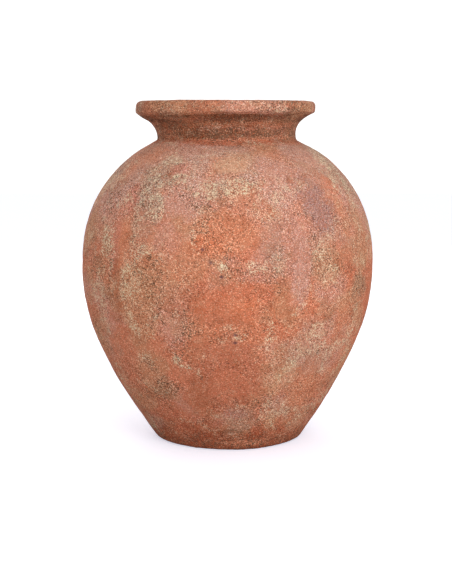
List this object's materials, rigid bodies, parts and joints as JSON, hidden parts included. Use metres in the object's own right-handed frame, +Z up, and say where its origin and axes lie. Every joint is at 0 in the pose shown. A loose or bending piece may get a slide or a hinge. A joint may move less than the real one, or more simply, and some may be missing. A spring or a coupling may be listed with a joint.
{
  "type": "amphora",
  "caption": "Handle-less amphora-shaped terracotta jar with a rolled rim, flaring neck, broad shoulder and tapering lower wall on a flat foot, weathered all over.",
  "frame": {"origin": "centre of the flat resting face of the foot", "axes": "+Z up along the jar's turning axis; the side in the picture faces -Y, with +X to its right"},
  "size_m": [0.347, 0.3468, 0.4],
  "materials": {
    "weathered_terracotta": "matte, sandy, weathered terracotta with cream lime specks, dark pits and smooth worn patches",
    "bare_terracotta": "matte, plain fired terracotta"
  },
  "bodies": {
    "root": {"base_slab": "bare_terracotta", "base_coil": "bare_terracotta", "lower_wall": "weathered_terracotta", "belly_band": "weathered_terracotta", "shoulder_band": "weathered_terracotta", "neck_collar": "weathered_terracotta", "rim_lip": "weathered_terracotta"}
  },
  "joints": []
}
